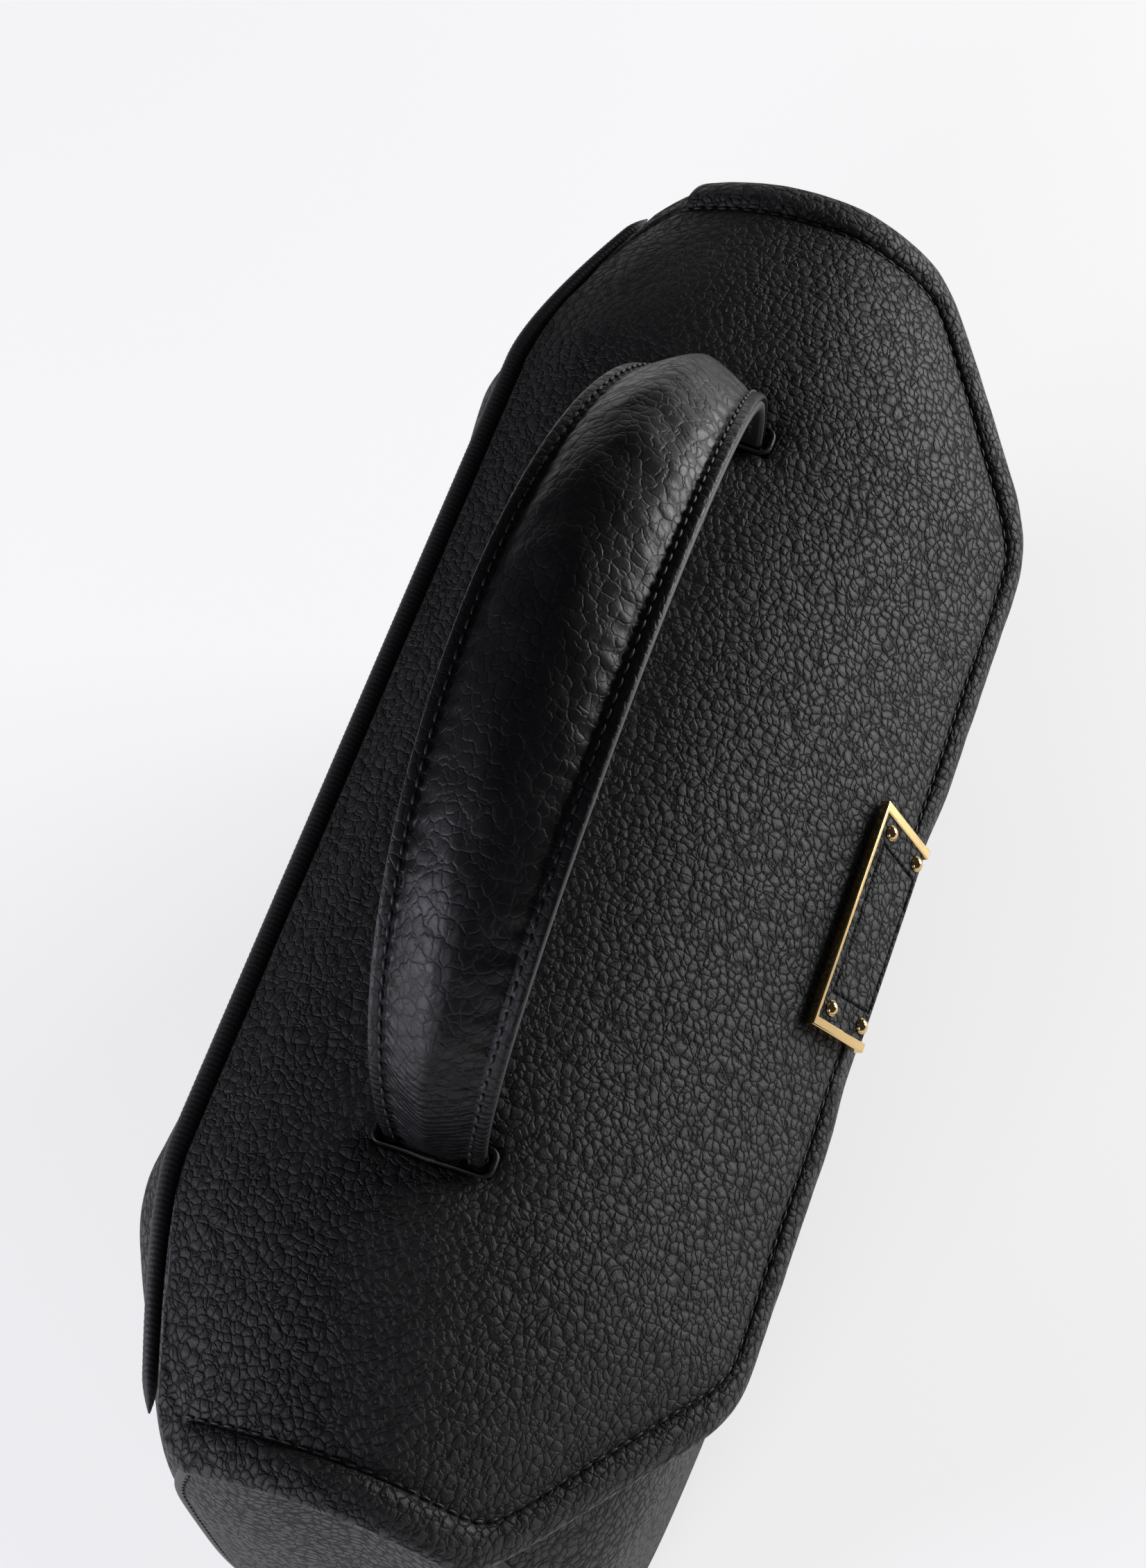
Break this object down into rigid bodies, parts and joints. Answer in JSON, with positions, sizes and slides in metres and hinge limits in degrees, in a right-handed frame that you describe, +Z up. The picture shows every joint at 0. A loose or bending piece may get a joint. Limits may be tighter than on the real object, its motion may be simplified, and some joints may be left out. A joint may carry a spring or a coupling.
{
  "type": "top-handle flap handbag",
  "caption": "Soft flap bag in black pebbled leather with one padded top handle, a turned flap border, pinched ends and a gold-framed riveted leather plaque.",
  "frame": {"origin": "flat underside of the middle foot, on the surface the bag stands on", "axes": "+X along the bag, +Y to the back, +Z up; the flap's plaque faces -Y"},
  "size_m": [0.3102, 0.1251, 0.2813],
  "materials": {
    "grain_leather": "pebbled full-grain calf, satin",
    "smooth_leather": "smooth calf with painted edges",
    "lining_cloth": "woven cotton twill",
    "board": "pressed leatherboard",
    "brass": "polished, pale gold plated",
    "steel": "nickel plated"
  },
  "bodies": {
    "body": {"front_panel": "grain_leather", "back_panel": "grain_leather", "gusset_right": "grain_leather", "gusset_left": "grain_leather", "base_panel": "grain_leather", "base_board": "board", "lining_bag": "lining_cloth", "mouth_binding": "smooth_leather", "back_welt": "smooth_leather", "foot_front_left": "brass", "foot_front_right": "brass", "foot_back_left": "brass", "foot_back_right": "brass", "foot_middle": "brass", "body_magnet": "steel"},
    "flap": {"flap_shell": "grain_leather", "flap_board": "board", "flap_lining": "lining_cloth", "flap_border": "grain_leather", "plaque_frame": "brass", "plaque_backplate": "brass", "plaque_inlay": "grain_leather", "plaque_rivet_1": "brass", "plaque_rivet_2": "brass", "plaque_rivet_3": "brass", "plaque_rivet_4": "brass", "flap_magnet": "steel", "slot_rim_right": "smooth_leather", "slot_rim_left": "smooth_leather", "anchor_plate_right": "steel", "anchor_plate_left": "steel", "anchor_rivet_right_front": "brass", "anchor_rivet_right_back": "brass", "anchor_rivet_left_front": "brass", "anchor_rivet_left_back": "brass"},
    "handle": {"handle_strap": "smooth_leather", "handle_cover": "grain_leather", "handle_core": "board", "handle_pin_right": "brass", "handle_pin_left": "brass"}
  },
  "joints": [
    {"name": "flap_hinge", "type": "hinge", "parent": "body", "child": "flap", "pos_m": [0, 0.0535, 0.1975], "axis": [-1, 0, 0], "range_deg": [0, 115]},
    {"name": "handle_swing", "type": "hinge", "parent": "flap", "child": "handle", "pos_m": [0, 0.00485, 0.2092], "axis": [1, 0, 0], "range_deg": [-10, 18]}
  ]
}
